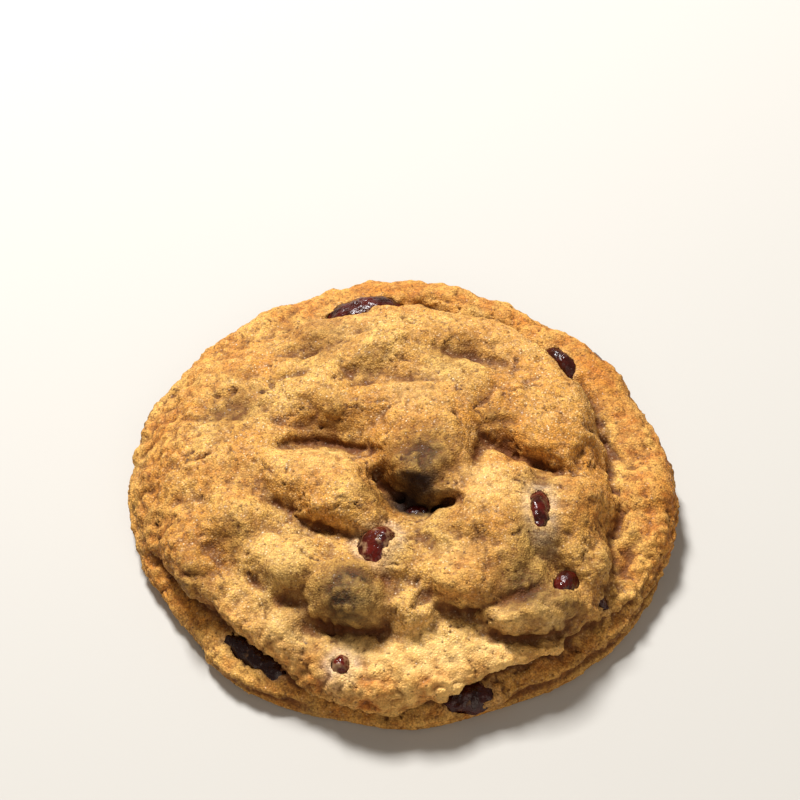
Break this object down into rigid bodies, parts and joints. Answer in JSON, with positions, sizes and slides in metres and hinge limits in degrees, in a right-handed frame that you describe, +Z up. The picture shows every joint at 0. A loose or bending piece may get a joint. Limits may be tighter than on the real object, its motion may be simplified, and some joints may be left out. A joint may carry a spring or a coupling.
{
  "type": "chocolate chip cookie",
  "caption": "Thick, soft-baked round cookie with a folded, cracked golden top, an overhanging front lip and glossy chocolate chips sunk in its creases.",
  "frame": {"origin": "middle of the flat underside, which lies at z = 0", "axes": "+Z up out of the top, -Y towards the side with the overhanging lip, +X to the right of it"},
  "size_m": [0.0848, 0.0816, 0.0178],
  "materials": {
    "crust": "baked cookie crust: matt, finely grained, golden with orange-brown edges",
    "chocolate": "dark chocolate that has melted and set again: glossy, with dull patches"
  },
  "bodies": {
    "root": {"dough": "crust", "chip_top": "chocolate", "chip_top_right": "chocolate", "chip_hollow": "chocolate", "chip_left_fold": "chocolate", "chip_right_fold": "chocolate", "chip_right_crease": "chocolate", "chip_front_small": "chocolate", "chip_right_small": "chocolate", "chip_front_left": "chocolate", "chip_front_right": "chocolate", "chip_back_left": "chocolate", "chip_back": "chocolate", "chip_back_right": "chocolate"}
  },
  "joints": []
}
